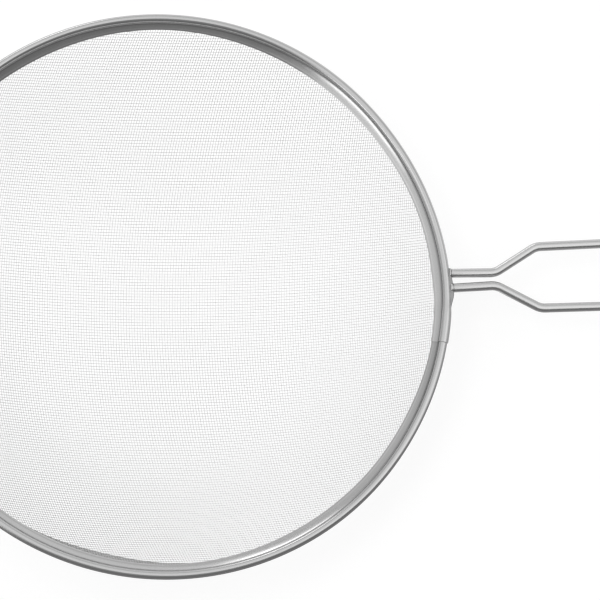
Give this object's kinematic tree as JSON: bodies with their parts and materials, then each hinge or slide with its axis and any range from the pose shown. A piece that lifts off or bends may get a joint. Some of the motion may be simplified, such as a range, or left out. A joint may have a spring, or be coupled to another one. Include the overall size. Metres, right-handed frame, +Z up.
{
  "type": "round wire-mesh kitchen sieve",
  "caption": "Round-bottomed kitchen sieve: a bowl of woven steel wire cloth in a folded steel rim, with a looped wire handle and a rest hook.",
  "frame": {"origin": "the middle of the foot of the bowl, on the table that the sieve stands on", "axes": "+Z up from the table, +X along the table towards the handle, +Y to the left of the handle; the rim leans about 9 degrees towards +X, because the handle's end also touches the table"},
  "size_m": [0.4761, 0.26, 0.0788],
  "materials": {
    "wire_cloth": "bright drawn wire, woven",
    "rim_steel": "satin rolled strip",
    "wire_steel": "polished wire",
    "weld_steel": "dull weld metal"
  },
  "bodies": {
    "root": {"mesh_bowl": "wire_cloth", "rim_channel": "rim_steel", "hoop_wire": "wire_steel", "handle_wire": "wire_steel", "handle_plate": "rim_steel", "handle_welds": "weld_steel", "rest_hook": "wire_steel", "hook_welds": "weld_steel"}
  },
  "joints": []
}
